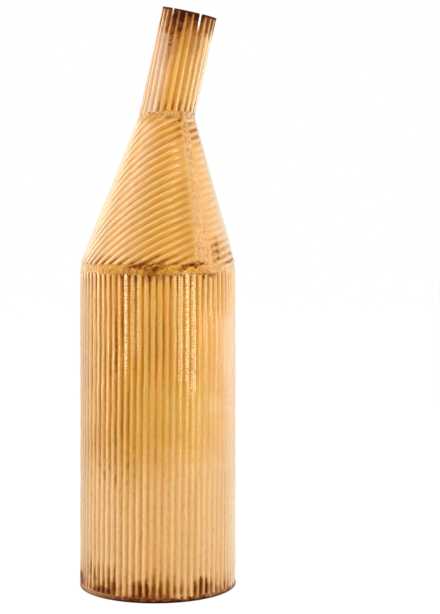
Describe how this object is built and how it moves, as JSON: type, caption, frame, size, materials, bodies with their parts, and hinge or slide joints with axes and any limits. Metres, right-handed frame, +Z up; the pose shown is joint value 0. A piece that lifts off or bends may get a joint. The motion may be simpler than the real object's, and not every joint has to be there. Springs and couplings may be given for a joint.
{
  "type": "fluted metal bottle vase",
  "caption": "Tall bottle vase of fluted sheet metal: straight ribbed body, leaning cone with winding flutes and a short tilted neck; stands free and holds stems.",
  "frame": {"origin": "centre of the foot, on the surface that the vase stands on", "axes": "+Z up along the body; the front of the picture faces -Y; the cone and the neck lean towards +X"},
  "size_m": [0.1274, 0.1274, 0.4731],
  "materials": {
    "fluted_sheet": "amber-lacquered, softly polished, burnt brown at the cut edges",
    "braze": "hand-filed, lumpy and speckled with torch marks",
    "foot_metal": "burnt brown, left from the torch"
  },
  "bodies": {
    "root": {"base_plate": "foot_metal", "foot_fillet": "foot_metal", "body_sheet": "fluted_sheet", "body_seam": "braze", "shoulder_band": "braze", "cone_left_sheet": "fluted_sheet", "cone_right_sheet": "fluted_sheet", "cone_front_seam": "braze", "cone_rear_seam": "braze", "neck_band": "braze", "neck_sheet": "fluted_sheet", "neck_seam": "braze"}
  },
  "joints": []
}
